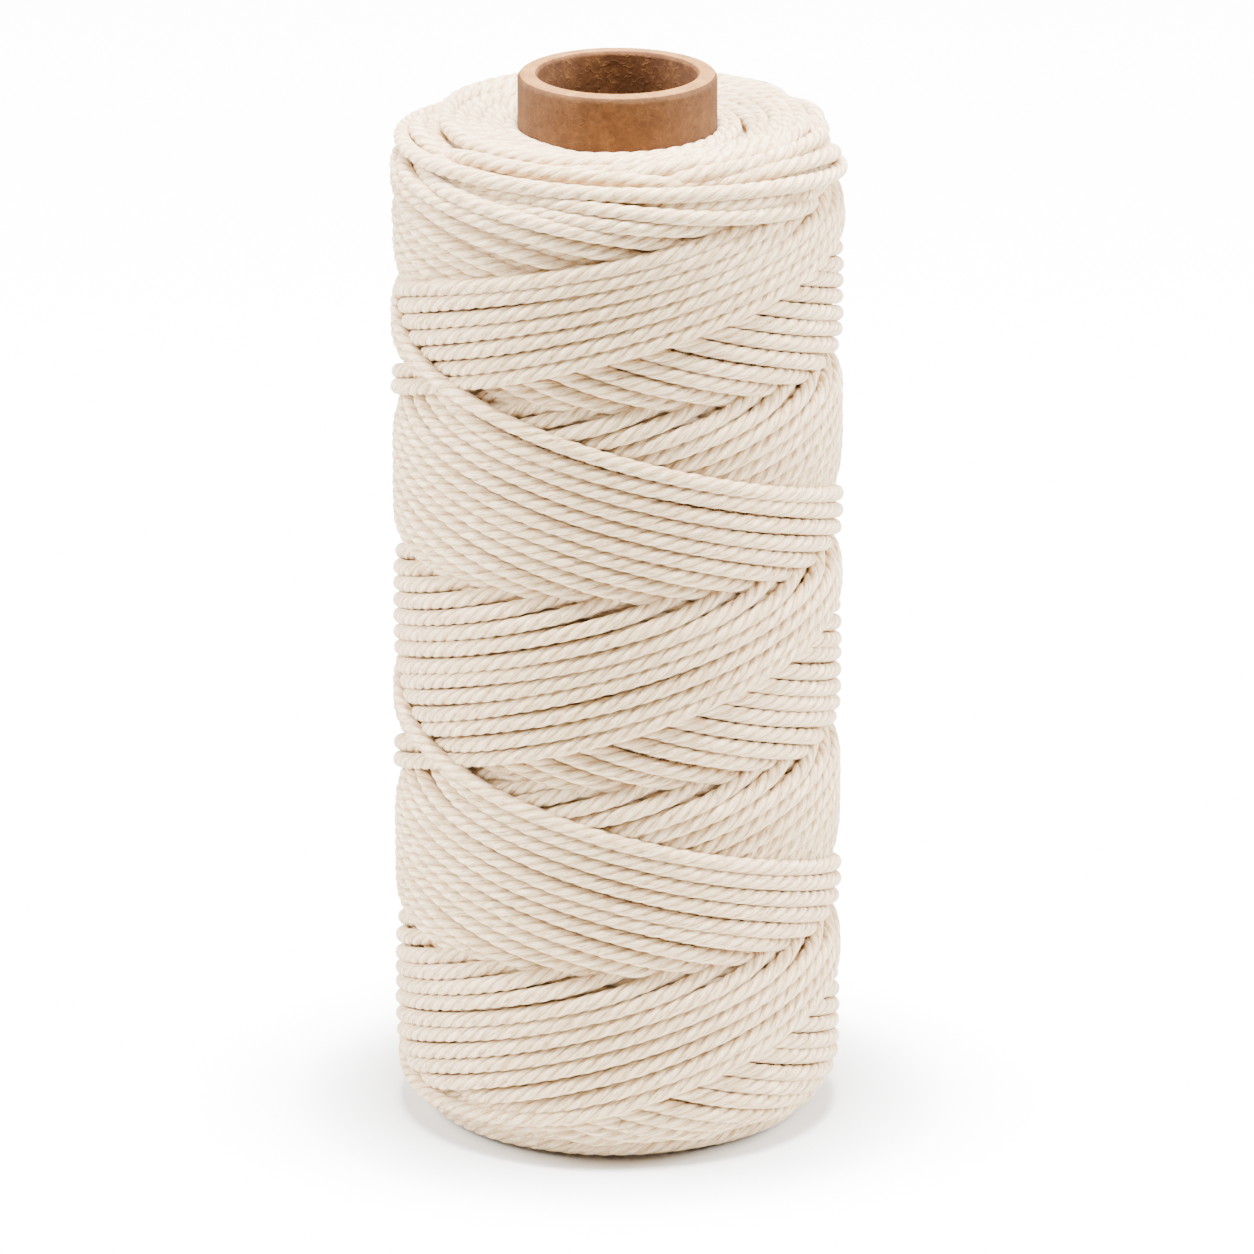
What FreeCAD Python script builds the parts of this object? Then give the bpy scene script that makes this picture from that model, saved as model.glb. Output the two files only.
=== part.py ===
import FreeCAD, Part
import math
import os
import Sketcher

# A tall spool of laid cotton cord, cross-wound on a kraft paperboard tube.
# Frame: +Z is the tube's axis, z = 0 is the tube's lower end, which the spool stands on,
# and -Y is the front. Everything is in millimetres.

doc = FreeCAD.newDocument("SpoolOfCord")

# ---------------------------------------------------------------- driving dimensions
SIZES = [
    # alias, value, what it is
    ("coreBoreDia", 30.0, "bore of the tube"),
    ("linerPlyThick", 0.45, "smooth liner ply that lines the bore"),
    ("bodyPlyThick", 0.95, "each of the three body plies"),
    ("outerPlyThick", 0.45, "light kraft ply on the outside"),
    ("rimRoundOut", 1.2, "rounding of the burnished rim, outside"),
    ("rimRoundIn", 0.8, "rounding of the burnished rim, inside"),
    ("collarHeight", 9.0, "bare tube above the winding"),
    ("footGap", 0.6, "bare tube below the winding"),
    ("windHeight", 194.4, "height of the winding"),
    ("coverThick", 5.9, "one full double cover, two crossing layers of cord"),
    ("endStep", 1.4, "what one cover adds to each end of the winding"),
    ("shoulderTop", 11.0, "rounding of the winding's upper shoulder"),
    ("shoulderFoot", 11.0, "rounding of the winding's lower shoulder"),
    ("cordDia", 3.1, "the cord"),
    ("windLead", 74.0, "rise of the cord in one turn round the winding"),
    ("endSweep", 46.0, "arc that the cord's outer end shows, in degrees"),
    ("endHeight", 36.0, "height of the middle of the cord's outer end"),
    ("endAzimuth", 56.0, "place of the cord's outer end, in degrees from +X"),
]
sheet = doc.addObject("Spreadsheet::Sheet", "Sizes")
for row, (alias, value, note) in enumerate(SIZES, start=1):
    sheet.set("A%d" % row, alias)
    sheet.set("B%d" % row, str(value))
    sheet.set("C%d" % row, note)
    sheet.setAlias("B%d" % row, alias)

# Sizes that follow from the ones above, as formulas of the same sheet.
FORMULAS = [
    ("coreRadius", "coreBoreDia / 2 + linerPlyThick + 3 * bodyPlyThick + outerPlyThick",
     "outer radius of the tube"),
    ("coreLength", "footGap + windHeight + collarHeight", "length of the tube"),
    ("windTop", "footGap + windHeight", "upper end of the winding"),
    ("windRadius", "coreRadius + 4 * coverThick", "outer radius of the winding"),
    ("endSink", "0.84 * cordDia", "depth that the cord's end is bedded in the winding"),
    ("windAngle", "atan(windLead / (2 * pi * windRadius)) / 1 deg",
     "angle of the cord's turns from level, in degrees"),
]
for row, (alias, formula, note) in enumerate(FORMULAS, start=len(SIZES) + 1):
    sheet.set("A%d" % row, alias)
    sheet.set("B%d" % row, "=" + formula)
    sheet.set("C%d" % row, note)
    sheet.setAlias("B%d" % row, alias)
doc.recompute()


def size(alias):
    return float(sheet.get(alias))


def plane_of(body, role):
    for item in body.Origin.OriginFeatures:
        if item.Role == role:
            return item
    raise RuntimeError("no plane %s in %s" % (role, body.Label))


# ---------------------------------------------------------------- a rounded turned blank
def turned_blank(name, inner, outer, low, high, round_in, round_foot, round_top):
    """A body turned about Z: inner and outer radii, low and high ends, as expressions.

    round_in rounds both inner corners (None leaves them square), round_foot and
    round_top round the two outer corners.
    """
    body = doc.addObject("PartDesign::Body", name)
    sketch = body.newObject("Sketcher::SketchObject", name + "Profile")
    sketch.AttachmentSupport = [(plane_of(body, "XZ_Plane"), "")]
    sketch.MapMode = "FlatFace"

    def number(expression):
        return float(sheet.evalExpression(expression))

    ri, ro = number(inner), number(outer)
    zl, zh = number(low), number(high)
    corner = [
        (ri, zl, None if round_in is None else number(round_in), round_in),
        (ro, zl, number(round_foot), round_foot),
        (ro, zh, number(round_top), round_top),
        (ri, zh, None if round_in is None else number(round_in), round_in),
    ]
    vector = FreeCAD.Vector

    # points where each straight side starts and ends, going anticlockwise from the inner foot
    way = [(1, 0), (0, 1), (-1, 0), (0, -1)]
    starts, ends = [], []
    for i in range(4):
        x, z, r, _ = corner[i]
        nx, nz, nr, _ = corner[(i + 1) % 4]
        dx, dz = way[i]
        starts.append((x + dx * (r or 0.0), z + dz * (r or 0.0)))
        ends.append((nx - dx * (nr or 0.0), nz - dz * (nr or 0.0)))
    lines = [
        sketch.addGeometry(Part.LineSegment(vector(*starts[i], 0), vector(*ends[i], 0)), False)
        for i in range(4)
    ]
    arcs = {}
    for i in range(4):
        x, z, r, expression = corner[i]
        if r is None:
            continue
        before, after = way[i - 1], way[i]
        cx = x - before[0] * r + after[0] * r
        cz = z - before[1] * r + after[1] * r
        circle = Part.Circle(vector(cx, cz, 0), vector(0, 0, 1), r)
        start = math.atan2(ends[i - 1][1] - cz, ends[i - 1][0] - cx)
        arcs[i] = sketch.addGeometry(Part.ArcOfCircle(circle, start, start + math.pi / 2), False)
    for i in range(4):
        if i in arcs:
            sketch.addConstraint(Sketcher.Constraint("Tangent", lines[i - 1], 2, arcs[i], 1))
            sketch.addConstraint(Sketcher.Constraint("Tangent", arcs[i], 2, lines[i], 1))
        else:
            sketch.addConstraint(Sketcher.Constraint("Coincident", lines[i - 1], 2, lines[i], 1))
    # square corners leave the side's direction free, so each side is held level or upright
    for i, kind in enumerate(("Horizontal", "Vertical", "Horizontal", "Vertical")):
        if i == 0 or (i in (2, 3) and round_in is None) or (i == 1 and round_in is None):
            sketch.addConstraint(Sketcher.Constraint(kind, lines[i]))
    held = []
    held.append((sketch.addConstraint(
        Sketcher.Constraint("DistanceX", -1, 1, lines[1], 1, ro)), outer))
    if ri > 0:
        held.append((sketch.addConstraint(
            Sketcher.Constraint("DistanceX", -1, 1, lines[3], 1, ri)), inner))
    else:
        sketch.addConstraint(Sketcher.Constraint("PointOnObject", lines[3], 1, -2))
    if zl == 0.0:
        sketch.addConstraint(Sketcher.Constraint("PointOnObject", lines[0], 1, -1))
    else:
        held.append((sketch.addConstraint(
            Sketcher.Constraint("DistanceY", -1, 1, lines[0], 1, zl)), low))
    held.append((sketch.addConstraint(
        Sketcher.Constraint("DistanceY", -1, 1, lines[2], 1, zh)), high))
    for i, arc in arcs.items():
        held.append((sketch.addConstraint(
            Sketcher.Constraint("Radius", arc, corner[i][2])), corner[i][3]))
    for index, expression in held:
        sketch.setExpression("Constraints[%d]" % index, expression)
    turn = body.newObject("PartDesign::Revolution", name + "Turn")
    turn.Profile = sketch
    turn.ReferenceAxis = (sketch, ["V_Axis"])
    turn.Angle = 360.0
    body.Tip = turn
    doc.recompute()
    return body


def round_bar(name, radius, low, length):
    bar = doc.addObject("Part::Cylinder", name)
    bar.setExpression("Radius", radius)
    bar.setExpression("Height", length)
    bar.setExpression("Placement.Base.z", low)
    return bar


def cut(name, base, tool):
    item = doc.addObject("Part::Cut", name)
    item.Base, item.Tool = base, tool
    return item


NODES = []


def node(item, label):
    item.Label = label
    NODES.append(item)
    return item


# ---------------------------------------------------------------- the paperboard tube
# One blank with burnished, rounded rims is divided into its wound plies, face to face.
core_blank = turned_blank(
    "CoreBlank", "Sizes.coreBoreDia / 2", "Sizes.coreRadius", "0", "Sizes.coreLength",
    "Sizes.rimRoundIn", "Sizes.rimRoundOut", "Sizes.rimRoundOut")

PLIES = ["core_liner_ply", "core_body_ply_1", "core_body_ply_2", "core_body_ply_3",
         "core_outer_ply"]
SEAMS = [
    "Sizes.coreBoreDia / 2 + Sizes.linerPlyThick",
    "Sizes.coreBoreDia / 2 + Sizes.linerPlyThick + 1 * Sizes.bodyPlyThick",
    "Sizes.coreBoreDia / 2 + Sizes.linerPlyThick + 2 * Sizes.bodyPlyThick",
    "Sizes.coreBoreDia / 2 + Sizes.linerPlyThick + 3 * Sizes.bodyPlyThick",
]
CORE_LOW, CORE_LONG = "-5", "Sizes.coreLength + 10"
remainder = core_blank
for k, label in enumerate(PLIES):
    if k < len(SEAMS):
        bar = round_bar("PlySeam%d" % (k + 1), SEAMS[k], CORE_LOW, CORE_LONG)
        ply = doc.addObject("Part::Common", "Ply%d" % (k + 1))
        ply.Base, ply.Tool = remainder, bar
        rest = round_bar("PlyRest%d" % (k + 1), SEAMS[k], CORE_LOW, CORE_LONG)
        remainder = cut("PlyRemainder%d" % (k + 1), remainder, rest)
    else:
        ply = remainder
    node(ply, label)

# ---------------------------------------------------------------- the winding
# Each cover is one full double cover of crossing turns, closed over the cover below it.
COVERS = 4
tube_bar = round_bar("WoundTube", "Sizes.coreRadius", CORE_LOW, CORE_LONG)
blanks = []
for k in range(1, COVERS + 1):
    below = COVERS - k
    step = " - %d * Sizes.endStep" % below
    blanks.append(turned_blank(
        "CoverBlank%d" % k, "0",
        "Sizes.coreRadius + %d * Sizes.coverThick" % k,
        "Sizes.footGap + %d * Sizes.endStep" % below,
        "Sizes.windTop" + step,
        None,
        "Sizes.shoulderFoot" + step,
        "Sizes.shoulderTop" + step))

# the cord's outer end, bedded in the last cover at the end of its last stroke downwards:
# an arc of round cord whose radius and tilt are those of the wound turn at its middle
end_ring = doc.addObject("Part::Torus", "CordEndArc")
end_ring.setExpression(
    "Radius1",
    "(Sizes.windRadius + Sizes.cordDia / 2 - Sizes.endSink)"
    " / (cos(Sizes.windAngle * 1 deg) * cos(Sizes.windAngle * 1 deg))")
end_ring.setExpression("Radius2", "Sizes.cordDia / 2")
end_ring.Angle1 = -180.0
end_ring.Angle2 = 180.0
end_ring.setExpression("Angle3", "Sizes.endSweep")

# turned so that the arc's middle is on its own +X, tilted, then moved to its place
half, tilt, around = size("endSweep") / 2.0, -size("windAngle"), size("endAzimuth")
bed = size("windRadius") + size("cordDia") / 2.0 - size("endSink")
ring_radius = bed / math.cos(math.radians(tilt)) ** 2
centre = FreeCAD.Placement(
    FreeCAD.Vector(0, 0, 0), FreeCAD.Rotation(FreeCAD.Vector(0, 0, 1), -half))
slope = FreeCAD.Placement(
    FreeCAD.Vector(bed - ring_radius, 0, 0), FreeCAD.Rotation(FreeCAD.Vector(1, 0, 0), tilt))
place = FreeCAD.Placement(
    FreeCAD.Vector(0, 0, size("endHeight")),
    FreeCAD.Rotation(FreeCAD.Vector(0, 0, 1), around))
end_ring.Placement = place.multiply(slope.multiply(centre))

for k in range(COVERS):
    outside = blanks[k]
    inside = tube_bar if k == 0 else blanks[k - 1]
    hollow = cut("CoverShell%d" % (k + 1), outside, inside)
    if k > 0:
        bar = round_bar("CoverBore%d" % (k + 1), "Sizes.coreRadius", CORE_LOW, CORE_LONG)
        hollow = cut("CoverOpen%d" % (k + 1), hollow, bar)
    if k == COVERS - 1:
        hollow = cut("CoverBedded", hollow, end_ring)
    node(hollow, "twine_cover_%d" % (k + 1))
node(end_ring, "twine_outer_end")

doc.recompute()

# ---------------------------------------------------------------- checks and export
for item in doc.Objects:
    bad = [flag for flag in item.State if flag in ("Invalid", "Error")]
    if bad:
        raise RuntimeError("%s is %s" % (item.Label, ", ".join(bad)))
for item in NODES:
    shape = item.Shape
    if shape.isNull() or not shape.isValid() or len(shape.Solids) != 1:
        raise RuntimeError("%s has no single valid solid" % item.Label)

os.makedirs("parts", exist_ok=True)
for item in NODES:
    item.Shape.exportStep("parts/%s.step" % item.Label)
    box = item.Shape.BoundBox
    print("%-18s volume %10.1f  z %7.2f to %7.2f  r %6.2f" % (
        item.Label, item.Shape.Volume, box.ZMin, box.ZMax, box.XMax))
print("tube length %.2f, winding radius %.2f" % (size("coreLength"), size("windRadius")))
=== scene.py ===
import bpy
import bmesh
import math
import numpy as np
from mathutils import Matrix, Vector


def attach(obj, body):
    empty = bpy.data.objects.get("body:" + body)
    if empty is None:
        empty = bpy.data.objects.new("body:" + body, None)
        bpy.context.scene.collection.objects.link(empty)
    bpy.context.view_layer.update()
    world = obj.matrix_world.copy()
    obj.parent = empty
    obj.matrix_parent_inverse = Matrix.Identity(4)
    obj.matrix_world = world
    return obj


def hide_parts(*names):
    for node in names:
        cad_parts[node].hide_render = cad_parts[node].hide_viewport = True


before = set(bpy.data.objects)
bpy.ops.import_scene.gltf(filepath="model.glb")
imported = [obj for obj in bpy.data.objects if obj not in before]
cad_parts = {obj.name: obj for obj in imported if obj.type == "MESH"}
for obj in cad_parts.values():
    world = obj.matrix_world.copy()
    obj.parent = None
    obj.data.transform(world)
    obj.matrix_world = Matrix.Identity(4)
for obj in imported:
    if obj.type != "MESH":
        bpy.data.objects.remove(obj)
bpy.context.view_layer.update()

MM = 0.001
TAU = 2.0 * math.pi

# ---------------------------------------------------------------- the spool's sizes, in mm
WIND_R = 42.8           # outside of the winding
SHOULDER = 11.0         # rounding of both shoulders
WIND_LOW, WIND_TOP = 0.6, 195.0
TUBE_R = 18.75
CORD_D = 3.1
CORD_R = CORD_D / 2
LAY = 13.6              # length in which a strand goes once round the cord
LAY_HAND = -1.0         # a left-hand (S) lay
STRANDS = 4
STRAND_POINTS = (-45, -27, -9, 9, 27)     # angles of the points on each strand's outside
GROOVES = [1.0, 0.6, 0.2, 0.2, 0.6]       # how deep in the groove each of those points is, and so how much painted shade it gets

# ---------------------------------------------------------------- the wind
LEAD = 74.0             # rise of the cord in one turn
STROKE_TURNS = 3.0216   # turns from one reversal to the next
TOP_CROSS = 224.5       # height where the straight stretches of one pass would meet
FOOT_CROSS = 0.9
TOP_APEX = 192.5        # how far up the newest turn comes; each older one goes a little further
APEX_STEP = 0.2
FOOT_REACH = 5.5
LAST_TOP_TURN = 63.5 / LEAD
LAST_TURN = 3 + 169.0 / 360.0             # where the cord's outer end is
PASSES = 23             # double passes that make one full cover
PER_TURN = 58           # points in one turn, 4.5 mm apart
POINT_GAP = 4.5

SIDE_LOW = WIND_LOW + SHOULDER
SIDE_TOP = WIND_TOP - SHOULDER
QUARTER = SHOULDER * math.pi / 2
FLAT = WIND_R - SHOULDER - TUBE_R
S_MIN = SIDE_LOW - QUARTER - FLAT
S_MAX = SIDE_TOP + QUARTER + FLAT
MIDDLE = (WIND_LOW + WIND_TOP) / 2


def profile(s):
    """Point and outward normal of the winding's outline at run s, measured up its side in mm."""
    s = np.asarray(s, float)
    r = np.full(s.shape, WIND_R)
    z = s.copy()
    nr = np.ones(s.shape)
    nz = np.zeros(s.shape)
    for sign, edge, middle in ((1, SIDE_TOP, SIDE_TOP), (-1, SIDE_LOW, SIDE_LOW)):
        over = sign * (s - edge)
        arc = (over > 0) & (over <= QUARTER)
        turn = over[arc] / SHOULDER
        r[arc] = WIND_R - SHOULDER + SHOULDER * np.cos(turn)
        z[arc] = middle + sign * SHOULDER * np.sin(turn)
        nr[arc] = np.cos(turn)
        nz[arc] = sign * np.sin(turn)
        flat = over > QUARTER
        r[flat] = WIND_R - SHOULDER - (over[flat] - QUARTER)
        z[flat] = middle + sign * SHOULDER
        nr[flat] = 0.0
        nz[flat] = sign
    return r, z, nr, nz


# ---------------------------------------------------------------- the route of the cord
def wander(n, step, size, length, seed):
    """Slow random wandering of the given size, in mm, over n samples."""
    own = np.random.default_rng(seed)
    knots = max(int(n * step / length) + 4, 5)
    raw = own.normal(0, size, knots)
    x = np.linspace(1, knots - 2.001, n)
    i = x.astype(int)
    t = x - i
    a, b, c, d = raw[i - 1], raw[i], raw[i + 1], raw[i + 2]
    return b + 0.5 * t * (c - a + t * (2 * a - 5 * b + 4 * c - d + t * (3 * (b - c) + d - a)))


def rounded(x, reach):
    """abs(x) with its corner rounded off by a parabola of half width reach."""
    return np.where(np.abs(x) < reach, x * x / (2 * reach) + reach / 2, np.abs(x))


def stroke(age, rising):
    """Turns and heights of one stroke of one pass; age counts double passes back from the last."""
    top = LAST_TOP_TURN - age * 2 * STROKE_TURNS
    first, last = (top - STROKE_TURNS, top) if rising else (top, top + STROKE_TURNS)
    turns = np.arange(math.ceil(first * PER_TURN), math.ceil(last * PER_TURN)) / PER_TURN
    x = LEAD * np.abs(turns - top)
    top_apex = TOP_APEX + APEX_STEP * age
    reach_top = 2 * (TOP_CROSS - top_apex)
    reach_foot = 2 * (FOOT_REACH - APEX_STEP * age)
    s = TOP_CROSS - rounded(x, reach_top)
    y = TOP_CROSS - x - FOOT_CROSS
    s = s + rounded(y, reach_foot) - y
    return turns, s


# one dict for each stretch, from the outer end back to the oldest pass; the one with the
# lowest key lies on top
strands_of_wind = []
for age in range(PASSES + 1):
    for rising in (False, True):
        turns, s = stroke(age, rising)
        n = len(turns)
        seed = 1000 + age * 2 + int(rising)
        s = (s + wander(n, POINT_GAP, 0.16, 34.0, seed)
             + wander(n, POINT_GAP, 0.10, 90.0, seed + 500))
        key = age + (0.5 if rising else 0.0)
        if age == 0 and not rising:
            keep = turns < LAST_TURN
            turns, s = turns[keep], s[keep]
        item = {"key": key, "turns": turns, "s": s, "age": age, "rising": rising}
        # towards the upper reversal the turns crowd together, so there every other one
        # sinks in between its neighbours, and older rising ones lie under the falling ones
        crowded = s > (156.0 if rising and age >= 7 else 170.0)
        if rising:
            cut = int(np.argmax(crowded))
            low, high = slice(0, cut), slice(cut, None)
        else:
            cut = int(np.argmin(crowded))
            low, high = slice(cut, None), slice(0, cut)
        late = (0, 10, 5, 10)[age % 4] if age < 16 else (10, 5, 10, 0)[age % 4]
        if rising:
            late = 40 if age >= 7 else 0
        upper_part = dict(item, key=key + late, turns=turns[high], s=s[high])
        lower_part = dict(item, turns=turns[low], s=s[low])
        strands_of_wind += [upper_part, lower_part] if rising else [lower_part, upper_part]

# rings on both ends, left by the earlier covers; each is two halves whose tails slip under
RING_GAP = 4.0          # between two points of a ring
rings = []
for end in (1, -1):
    start = 189.1 if end > 0 else 3.6
    last = S_MAX - 1.2 if end > 0 else S_MIN + 1.2
    count = 11 if end > 0 else 9
    for j in range(count):
        at = start + (last - start) * j / (count - 1)
        for half in range(2):
            seed = 4000 + j * 10 + half + (0 if end > 0 else 500)
            own = np.random.default_rng(seed)
            middle = own.uniform(-0.1, 0.1) + 0.37 * j + 0.5 * half
            span = own.uniform(0.36, 0.44)
            r_here = float(profile(np.array([at]))[0][0])
            step = RING_GAP / (TAU * r_here)
            turns = np.arange(middle - span, middle + span, step)
            off = (turns - middle) / span
            tail = np.clip((np.abs(off) - 0.35) / 0.65, 0, 1)
            s = at - end * 2.7 * tail ** 2 + wander(len(turns), RING_GAP, 0.26, 24.0, seed + 50)
            rings.append({"key": 30 + j * 2 + half, "turns": turns, "s": s, "age": 8,
                          "end": end, "half": half, "dip": 1.7 * tail ** 3})

# ---------------------------------------------------------------- bedding, newest first
CELL = 0.34             # side of one cell of the grid laid over the outline
COLS = int(TAU * WIND_R / CELL)
ROWS = int((S_MAX - S_MIN) / CELL) + 1
ceiling = np.full((ROWS, COLS), 9.0)      # height over the outline that is still free
row_r = profile(S_MIN + CELL * np.arange(ROWS))[0]
BED = 0.77 * CORD_R     # crossing cords press flatter than they are thick
TOP_LEVEL = 0.88        # the newest turns lie this many cord radii inside the outline
AGE_DEPTH = 0.5         # and the oldest this much deeper, in mm
DEEPEST = -5.9
HIDDEN = -4.4           # what lies deeper than this is out of sight and holds nothing up
SMOOTH = 1.1            # points over which a cord's own stiffness evens its level


def near_cells(row, col, around):
    """Yields the cells under a cord's bed: which points, their cells and the bed's rise there."""
    half_rows, half_cols = int(BED / CELL) + 1, 11
    for dr in range(-half_rows, half_rows + 1):
        rr = np.round(row).astype(int) + dr
        for dc in range(-half_cols, half_cols + 1):
            cc = np.round(col).astype(int) + dc
            dist2 = ((rr - row) * CELL) ** 2 + ((cc - col) * around) ** 2
            ok = (rr >= 0) & (rr < ROWS) & (dist2 < BED * BED)
            if ok.any():
                yield ok, rr[ok], cc[ok] % COLS, np.sqrt(BED * BED - dist2[ok])


def cells_of(turns, s):
    """Row, column and width of a cell at each of a cord's points."""
    row, col = (s - S_MIN) / CELL, (turns % 1.0) * COLS
    return row, col, TAU * np.interp(row, np.arange(ROWS), row_r) / COLS


def bed(item, level_cap=None, stamp=True):
    """Finds how high a stretch can lie under what is over it, and leaves its underside behind."""
    turns, s = item["turns"], item["s"]
    n = len(turns)
    free = np.full(n, -AGE_DEPTH * item["age"] / PASSES - TOP_LEVEL * CORD_R)
    if level_cap is not None:
        free = level_cap + wander(n, RING_GAP, 0.1, 22.0, int(item["key"]) + 77) - item["dip"]
    found = free.copy()
    for ok, rows, cols, rise in near_cells(*cells_of(turns, s)):
        found[ok] = np.minimum(found[ok], ceiling[rows, cols] - rise)
    found = np.maximum(found, DEEPEST)
    width = 4
    pad = np.pad(found, width, mode="edge")
    kernel = np.exp(-0.5 * (np.arange(-width, width + 1) / SMOOTH) ** 2)
    kernel /= kernel.sum()
    low = np.minimum(np.minimum(pad[:-2], pad[1:-1]), pad[2:])
    low = np.concatenate(([low[0]], low, [low[-1]]))
    level = np.minimum(free, np.convolve(0.5 * (low + pad), kernel, mode="valid"))
    item["level"] = level
    if not stamp:
        return
    # leave this stretch's own underside as the new limit, filled in between the points
    fine = 9
    t = np.linspace(0, n - 1, (n - 1) * fine + 1)
    i = np.arange(n)
    turns_f, s_f, level_f = (np.interp(t, i, v) for v in (turns, s, level))
    seen = level_f > HIDDEN
    turns_f, s_f, level_f = turns_f[seen], s_f[seen], level_f[seen]
    for ok, rows, cols, rise in near_cells(*cells_of(turns_f, s_f)):
        np.minimum.at(ceiling, (rows, cols), level_f[ok] - rise)


for item in sorted(strands_of_wind, key=lambda one: one["key"]):
    bed(item)
for item in rings:
    inward = np.clip((np.abs(item["s"] - MIDDLE) - 103.0) / 12.0, 0, 1)
    bed(item, level_cap=-1.2 - 1.1 * inward - 0.15 * item["half"], stamp=False)


def place(turns, s, n):
    """Points in metres of a line at the given turns, run and height over the outline."""
    r, z, nr, nz = profile(s)
    a = TAU * turns
    # the upper shoulder is a little fuller, most of all at the sides
    n = n + 1.3 * np.exp(-((s - 196.0) / 9.0) ** 2)
    at_sides = 0.9 * np.sin(a) ** 2 + 0.9 * np.maximum(np.sin(a), 0.0)
    n = n + at_sides * np.exp(-((s - 192.5) / 4.0) ** 2)
    r, z = r + nr * n, z + nz * n
    r = np.maximum(r, TUBE_R + 0.9 * CORD_R)
    return np.column_stack((r * np.sin(a), -r * np.cos(a), z)) * MM


# ---------------------------------------------------------------- finishes
def material(name):
    m = bpy.data.materials.new(name)
    m.use_nodes = True
    nodes, links = m.node_tree.nodes, m.node_tree.links
    for node in list(nodes):
        nodes.remove(node)
    out = nodes.new("ShaderNodeOutputMaterial")
    shader = nodes.new("ShaderNodeBsdfPrincipled")
    links.new(shader.outputs[0], out.inputs[0])
    return m, nodes, links, shader


def noise(nodes, links, vector, scale, detail=4.0, rough=0.55):
    n = nodes.new("ShaderNodeTexNoise")
    n.inputs["Scale"].default_value = scale
    n.inputs["Detail"].default_value = detail
    n.inputs["Roughness"].default_value = rough
    links.new(vector, n.inputs["Vector"])
    return n


def ramp(nodes, links, value, stops):
    r = nodes.new("ShaderNodeValToRGB")
    while len(r.color_ramp.elements) < len(stops):
        r.color_ramp.elements.new(0.5)
    for e, (pos, col) in zip(r.color_ramp.elements, stops):
        e.position = pos
        e.color = (*col, 1.0)
    links.new(value, r.inputs["Fac"])
    return r


def mix(nodes, links, a, b, fac, mode="MIX"):
    m = nodes.new("ShaderNodeMix")
    m.data_type = "RGBA"
    m.blend_type = mode
    for socket, value in ((m.inputs["Factor"], fac), (m.inputs["A"], a), (m.inputs["B"], b)):
        if hasattr(value, "is_output"):
            links.new(value, socket)
        elif isinstance(value, tuple):
            socket.default_value = (*value, 1.0)
        else:
            socket.default_value = value
    return m.outputs["Result"]


def mapping(nodes, links, vector, scale, location=(0, 0, 0)):
    mp = nodes.new("ShaderNodeMapping")
    mp.inputs["Scale"].default_value = scale
    mp.inputs["Location"].default_value = location
    links.new(vector, mp.inputs["Vector"])
    return mp.outputs["Vector"]


def cotton():
    m, nodes, links, shader = material("natural cotton cord")
    uv = nodes.new("ShaderNodeUVMap")
    uv.uv_map = "lay"
    coords = nodes.new("ShaderNodeTexCoord")
    groove = nodes.new("ShaderNodeAttribute")
    groove.attribute_name = "groove"
    fibre_way = mapping(nodes, links, uv.outputs["UV"], (20.0, 0.42, 1.0))
    fibre = noise(nodes, links, fibre_way, 1.0, 5.0, 0.66)
    tuft_way = mapping(nodes, links, uv.outputs["UV"], (6.0, 0.20, 1.0), (3.1, 7.7, 0))
    tuft = noise(nodes, links, tuft_way, 1.0, 3.0, 0.5)
    cloud = noise(nodes, links, coords.outputs["Object"], 60.0, 2.0)
    base = ramp(nodes, links, fibre.outputs["Fac"], [
        (0.33, (0.370, 0.238, 0.118)), (0.42, (0.740, 0.550, 0.330)),
        (0.52, (0.900, 0.710, 0.452)), (0.64, (0.995, 0.845, 0.605))])
    tone = ramp(nodes, links, tuft.outputs["Fac"], [
        (0.38, (0.84, 0.78, 0.71)), (0.56, (1.0, 1.0, 1.0))])
    colour = mix(nodes, links, base.outputs["Color"], tone.outputs["Color"], 0.8, "MULTIPLY")
    cloudy = ramp(nodes, links, cloud.outputs["Fac"], [
        (0.35, (0.955, 0.94, 0.915)), (0.65, (1.0, 1.0, 1.0))])
    colour = mix(nodes, links, colour, cloudy.outputs["Color"], 0.7, "MULTIPLY")
    # painted shade: the cord's colour darkens towards the grooves between its strands, where shade
    # falls
    shade = ramp(nodes, links, groove.outputs["Fac"], [
        (0.0, (1.0, 1.0, 1.0)), (0.30, (1.0, 0.99, 0.98)), (0.68, (0.90, 0.86, 0.80)),
        (1.0, (0.66, 0.55, 0.43))])
    colour = mix(nodes, links, colour, shade.outputs["Color"], 1.0, "MULTIPLY")
    links.new(colour, shader.inputs["Base Color"])
    shader.inputs["Roughness"].default_value = 0.86
    shader.inputs["Specular IOR Level"].default_value = 0.25
    shader.inputs["Sheen Weight"].default_value = 0.22
    shader.inputs["Sheen Roughness"].default_value = 0.5
    bump = nodes.new("ShaderNodeBump")
    bump.inputs["Strength"].default_value = 0.9
    bump.inputs["Distance"].default_value = 0.0005
    links.new(fibre.outputs["Fac"], bump.inputs["Height"])
    links.new(bump.outputs["Normal"], shader.inputs["Normal"])
    return m


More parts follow.
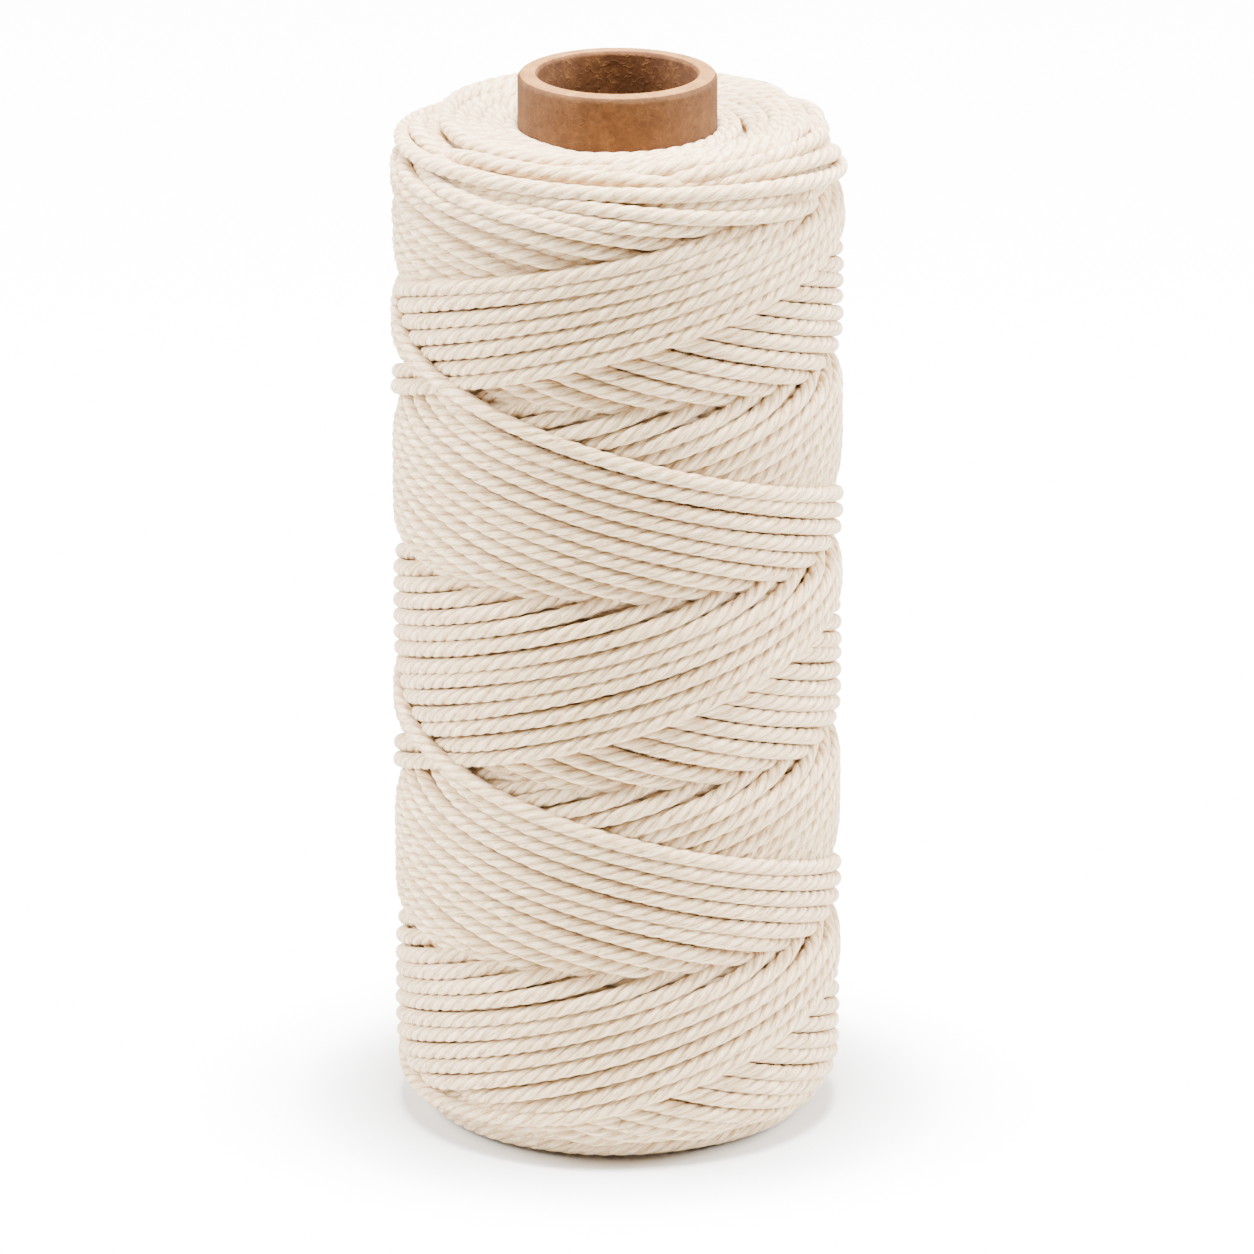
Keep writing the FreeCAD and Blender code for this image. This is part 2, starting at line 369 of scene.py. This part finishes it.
def kraft(name, light, mid, dark, fibres, rough):
    m, nodes, links, shader = material(name)
    coords = nodes.new("ShaderNodeTexCoord")
    where = coords.outputs["Object"]
    mottled = noise(nodes, links, where, 230.0, 7.0, 0.72)
    fine = noise(nodes, links, where, 900.0, 3.0, 0.6)
    base = ramp(nodes, links, mottled.outputs["Fac"], [(0.26, dark), (0.50, mid), (0.78, light)])
    speck = ramp(nodes, links, fine.outputs["Fac"], [
        (0.33, (0.80, 0.74, 0.68)), (0.52, (1.0, 1.0, 1.0)), (0.75, (1.08, 1.07, 1.05))])
    colour = mix(nodes, links, base.outputs["Color"], speck.outputs["Color"], 0.8, "MULTIPLY")
    # curled fibres: thin iso-lines of a swirling noise
    curl = noise(nodes, links, where, fibres, 1.5, 0.5)
    line = ramp(nodes, links, curl.outputs["Fac"], [
        (0.470, (0, 0, 0)), (0.493, (1, 1, 1)), (0.507, (1, 1, 1)), (0.530, (0, 0, 0))])
    colour = mix(nodes, links, colour, light, mix(nodes, links, (0.0, 0.0, 0.0),
                 line.outputs["Color"], 0.22))
    links.new(colour, shader.inputs["Base Color"])
    shader.inputs["Roughness"].default_value = rough
    shader.inputs["Specular IOR Level"].default_value = 0.2
    bump = nodes.new("ShaderNodeBump")
    bump.inputs["Strength"].default_value = 0.35
    bump.inputs["Distance"].default_value = 0.00025
    height = nodes.new("ShaderNodeMath")
    height.operation = "ADD"
    links.new(fine.outputs["Fac"], height.inputs[0])
    links.new(line.outputs["Color"], height.inputs[1])
    links.new(height.outputs[0], bump.inputs["Height"])
    links.new(bump.outputs["Normal"], shader.inputs["Normal"])
    return m


COTTON = cotton()
KRAFT_OUT = kraft("kraft tube, outside", (0.138, 0.060, 0.017), (0.083, 0.032, 0.0078),
                  (0.054, 0.020, 0.0045), 620.0, 0.75)
# the rim's board is painted much lighter than the outside board: painted light, standing in for the
# light that falls on the rim's top
KRAFT_RIM_PAINTED_LIGHT = kraft("kraft tube, rim with painted light", (0.38, 0.195, 0.070), (0.27, 0.125, 0.040),
                  (0.19, 0.082, 0.023), 620.0, 0.75)
KRAFT_IN = kraft("kraft tube, inside", (0.200, 0.086, 0.026), (0.090, 0.032, 0.008),
                 (0.052, 0.017, 0.004), 520.0, 0.75)

# ---------------------------------------------------------------- the cord itself
AROUND = STRANDS * len(STRAND_POINTS)     # points round the cord


def cord_section():
    """The cord's outline: its strands pressed together, as a closed flat curve."""
    strand_r, strand_off = 0.98, 0.57
    data = bpy.data.curves.new("cord section", "CURVE")
    data.dimensions = "2D"
    line = data.splines.new("POLY")
    line.points.add(AROUND - 1)
    angles = [(strand, a) for strand in range(STRANDS) for a in STRAND_POINTS]
    for point, (strand, a) in zip(line.points, angles):
        rad = math.radians(a)
        reach = strand_off * math.cos(rad) + math.sqrt(
            strand_r ** 2 - (strand_off * math.sin(rad)) ** 2)
        way = math.radians(360 / STRANDS * strand + a)
        point.co = (reach * MM * math.cos(way), reach * MM * math.sin(way), 0, 1)
    line.use_cyclic_u = True
    section = bpy.data.objects.new("cord section", data)
    bpy.context.collection.objects.link(section)
    return section


SECTION = cord_section()


def new_line(name, kind, points):
    """A curve with one line of the given kind through or along the points."""
    data = bpy.data.curves.new(name, "CURVE")
    data.dimensions = "3D"
    line = data.splines.new(kind)
    line.points.add(len(points) - 1)
    line.points.foreach_set("co", np.column_stack((points, np.ones(len(points)))).ravel())
    return data, line


def route_points(points):
    """The smooth route through the wind: a NURBS line on these points, read back as a fine line."""
    data, line = new_line("route", "NURBS", points)
    line.order_u = 3
    line.use_endpoint_u = True
    line.resolution_u = 4
    route = bpy.data.objects.new("route", data)
    bpy.context.collection.objects.link(route)
    mesh = bpy.data.meshes.new_from_object(route)
    out = np.empty(len(mesh.vertices) * 3)
    mesh.vertices.foreach_get("co", out)
    bpy.data.meshes.remove(mesh)
    bpy.data.objects.remove(route)
    return out.reshape(-1, 3)


def lay_cord(name, points, lay_from=0.0, caps=False):
    """Laid cord along a fine line of points: the section swept with a steady left-hand lay."""
    gap = np.linalg.norm(np.diff(points, axis=0), axis=1)
    keep = np.concatenate(([True], gap > 1e-7))
    points = points[keep]
    gap = np.linalg.norm(np.diff(points, axis=0), axis=1)
    along = np.concatenate(([0.0], np.cumsum(gap))) + lay_from
    data, line = new_line(name, "POLY", points)
    data.twist_mode = "Z_UP"
    line.points.foreach_set("tilt", LAY_HAND * TAU * along / (LAY * MM))
    # the cord's thickness changes a little every 9 mm
    own = np.random.default_rng(int(lay_from * 1000) + 3)
    knots = own.normal(1.0, 0.022, int(along[-1] * 1000 / 9) + 8)
    radius = np.interp(along * 1000 / 9, np.arange(len(knots)), knots)
    line.points.foreach_set("radius", radius)
    data.bevel_mode = "OBJECT"
    data.bevel_object = SECTION
    data.use_fill_caps = caps
    obj = bpy.data.objects.new(name, data)
    bpy.context.collection.objects.link(obj)
    graph = bpy.context.evaluated_depsgraph_get()
    mesh = bpy.data.meshes.new_from_object(obj.evaluated_get(graph), depsgraph=graph)
    bpy.data.objects.remove(obj)
    mesh.name = name
    obj = bpy.data.objects.new(name, mesh)
    bpy.context.collection.objects.link(obj)
    paint(mesh, along)
    mesh.materials.clear()
    mesh.materials.append(COTTON)
    for p in mesh.polygons:
        p.use_smooth = True
    return obj, along[-1]


def paint(mesh, along):
    """Marks each point of a cord with its place across its strand, which sets the painted shade of
    its groove, and with its place along the lay.
    """
    count = len(mesh.vertices)
    rows = len(along)
    groove = np.zeros(count, "f4")
    body = min(count, rows * AROUND)
    groove[:body] = np.resize(np.array(GROOVES, "f4"), body)
    layer = mesh.attributes.new("groove", "FLOAT", "POINT")
    layer.data.foreach_set("value", groove)
    uv = mesh.uv_layers.get("lay") or mesh.uv_layers.new(name="lay")
    loops = len(mesh.loops)
    who = np.empty(loops, "i4")
    mesh.loops.foreach_get("vertex_index", who)
    start = np.empty(len(mesh.polygons), "i4")
    total = np.empty(len(mesh.polygons), "i4")
    mesh.polygons.foreach_get("loop_start", start)
    mesh.polygons.foreach_get("loop_total", total)
    poly = np.repeat(np.arange(len(start)), total)
    i = np.minimum(who // AROUND, rows - 1)
    j = who % AROUND
    most = np.zeros(len(start), "i4")
    np.maximum.at(most, poly, j)
    wrap = (j == 0) & (most[poly] == AROUND - 1)
    u = np.where(wrap, AROUND, j) / AROUND
    v = along[i] * 1000.0
    uv.data.foreach_set("uv", np.column_stack((u, v)).astype("f4").ravel())


# the wound cord from its oldest visible pass to its outer end, in one route
order = list(reversed(strands_of_wind))
turns = np.concatenate([o["turns"] for o in order])
run = np.concatenate([o["s"] for o in order])
level = np.concatenate([o["level"] for o in order])
ease = np.array([0.25, 0.5, 0.25])
level = np.convolve(np.pad(level, 1, mode="edge"), ease, mode="valid")
fine = route_points(place(turns, run, level))
print("route", len(turns), "points,", len(fine), "fine points")

pieces = []
LIMIT = 4700            # fine points in one piece, which keeps it under 200,000 triangles
blocks = int(math.ceil(len(fine) / LIMIT))
edges = np.linspace(0, len(fine) - 1, blocks + 1).astype(int)
start = 0.0
for b in range(blocks):
    part = fine[edges[b]:edges[b + 1] + 1]
    obj, start = lay_cord("cord_turns_%02d" % (b + 1), part, start, caps=(b == blocks - 1))
    pieces.append(obj)
print("cord in the last cover, m:", round(start, 2))

ring_ends = {1: [], -1: []}
for item in rings:
    points = route_points(place(item["turns"], item["s"], item["level"]))
    lay_from = 0.013 * len(ring_ends[1]) * 0.37      # so that the rings' lays don't line up
    obj, _ = lay_cord("ring", points, lay_from)
    ring_ends[item["end"]].append(obj)


def joined(objs, name):
    target = objs[0]
    with bpy.context.temp_override(active_object=target, selected_objects=objs,
                                   selected_editable_objects=objs, object=target):
        bpy.ops.object.join()
    target.name = name
    target.data.name = name
    return target


upper = joined(ring_ends[1], "cord_upper_rings")
lower = joined(ring_ends[-1], "cord_lower_rings")


# the cord's deeper turns, seen only in the gaps: a ribbed body under the last cover
def deep_turns():
    bm = bmesh.new()
    s = np.linspace(S_MIN + 0.2, S_MAX - 0.2, 900)
    ripple = 0.5 * CORD_R * np.abs(np.sin(math.pi * s / (0.9 * CORD_D)))
    r, z, nr, nz = profile(s)
    depth = np.interp(np.abs(s - MIDDLE), (91.0, 99.0, 112.0), (-4.9, -3.7, -4.2)) + ripple
    rr, zz = r + nr * depth, z + nz * depth
    rr = np.maximum(rr, TUBE_R + 0.05)
    verts = [bm.verts.new((0.0, -a * MM, b * MM)) for a, b in zip(rr, zz)]
    line = [bm.edges.new(pair) for pair in zip(verts[:-1], verts[1:])]
    bmesh.ops.spin(bm, geom=verts + line, cent=(0, 0, 0), axis=(0, 0, 1), angle=TAU,
                   steps=96, use_merge=True)
    bmesh.ops.remove_doubles(bm, verts=bm.verts, dist=1e-6)
    bmesh.ops.recalc_face_normals(bm, faces=bm.faces)
    mesh = bpy.data.meshes.new("cord_deep_turns")
    bm.to_mesh(mesh)
    bm.free()
    for p in mesh.polygons:
        p.use_smooth = True
    obj = bpy.data.objects.new("cord_deep_turns", mesh)
    bpy.context.collection.objects.link(obj)
    m, nodes, links, shader = material("cord in shadow")
    coords = nodes.new("ShaderNodeTexCoord")
    blur = noise(nodes, links, coords.outputs["Object"], 400.0)
    base = ramp(nodes, links, blur.outputs["Fac"], [(0.3, (0.58, 0.45, 0.30)),
                                                     (0.7, (0.76, 0.61, 0.42))])
    links.new(base.outputs["Color"], shader.inputs["Base Color"])
    shader.inputs["Roughness"].default_value = 0.95
    mesh.materials.append(m)
    return obj


deep = deep_turns()
bpy.data.objects.remove(SECTION)

for obj in pieces:
    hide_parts("twine_cover_4")
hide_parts("twine_outer_end")
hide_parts("twine_cover_3")
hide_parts("twine_cover_2")
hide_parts("twine_cover_1")
for obj in pieces + [upper, lower, deep]:
    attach(obj, "root")

# ---------------------------------------------------------------- the paperboard tube
for name, finish in (("core_liner_ply", KRAFT_IN), ("core_body_ply_1", KRAFT_RIM_PAINTED_LIGHT),
                     ("core_body_ply_2", KRAFT_RIM_PAINTED_LIGHT), ("core_body_ply_3", KRAFT_RIM_PAINTED_LIGHT),
                     ("core_outer_ply", KRAFT_OUT)):
    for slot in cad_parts[name].material_slots:
        slot.material = finish

# ---------------------------------------------------------------- studio
bm = bmesh.new()
bmesh.ops.create_grid(bm, x_segments=1, y_segments=1, size=6.0)
mesh = bpy.data.meshes.new("floor")
bm.to_mesh(mesh)
bm.free()
floor = bpy.data.objects.new("floor", mesh)
bpy.context.collection.objects.link(floor)
m, nodes, links, shader = material("pale floor")
shader.inputs["Base Color"].default_value = (0.75, 0.75, 0.75, 1)
shader.inputs["Roughness"].default_value = 0.9
shader.inputs["Emission Color"].default_value = (1, 1, 1, 1)
sight = nodes.new("ShaderNodeLightPath")
glow = nodes.new("ShaderNodeMath")
glow.operation = "MULTIPLY"
glow.inputs[1].default_value = 11.0
links.new(sight.outputs["Is Camera Ray"], glow.inputs[0])
lit = glow.outputs[0]
for reach, depth in ((0.05, 3.0), (0.025, 4.0)):      # a wide soft shadow and a tight one
    near = nodes.new("ShaderNodeAmbientOcclusion")
    near.inputs["Distance"].default_value = reach
    near.samples = 8
    shade = nodes.new("ShaderNodeMath")
    shade.operation = "POWER"
    shade.inputs[1].default_value = depth
    links.new(near.outputs["AO"], shade.inputs[0])
    dim = nodes.new("ShaderNodeMath")
    dim.operation = "MULTIPLY"
    links.new(lit, dim.inputs[0])
    links.new(shade.outputs[0], dim.inputs[1])
    lit = dim.outputs[0]
links.new(lit, shader.inputs["Emission Strength"])
mesh.materials.append(m)

world = bpy.data.worlds.new("studio")
bpy.context.scene.world = world
world.use_nodes = True
world.node_tree.nodes["Background"].inputs[0].default_value = (1, 1, 1, 1)
world.node_tree.nodes["Background"].inputs[1].default_value = 0.16


def lamp(name, place_at, aim, size, power):
    light = bpy.data.lights.new(name, "AREA")
    light.size = size
    light.energy = power
    obj = bpy.data.objects.new(name, light)
    bpy.context.collection.objects.link(obj)
    obj.location = place_at
    obj.rotation_euler = (Vector(aim) - Vector(place_at)).to_track_quat("-Z", "Y").to_euler()
    return obj


lights = [lamp("top", (0.03, -0.12, 1.25), (0, 0, 0.1), 0.4, 99.0),
          lamp("left", (-0.9, 0.1, 0.6), (0, 0, 0.1), 0.6, 40.0),
          lamp("right", (0.9, 0.1, 0.6), (0, 0, 0.1), 0.6, 40.0)]

AIM = Vector((0.0018, 0.0, 0.0948))
AWAY, ELEVATION = 2.1, math.radians(18.0)
cam = bpy.data.cameras.new("camera")
cam.lens = 317.0
cam.sensor_width = 36.0
camera = bpy.data.objects.new("camera", cam)
bpy.context.collection.objects.link(camera)
camera.location = AIM + Vector((0, -AWAY * math.cos(ELEVATION), AWAY * math.sin(ELEVATION)))
camera.rotation_euler = (AIM - camera.location).to_track_quat("-Z", "Y").to_euler()
bpy.context.scene.camera = camera
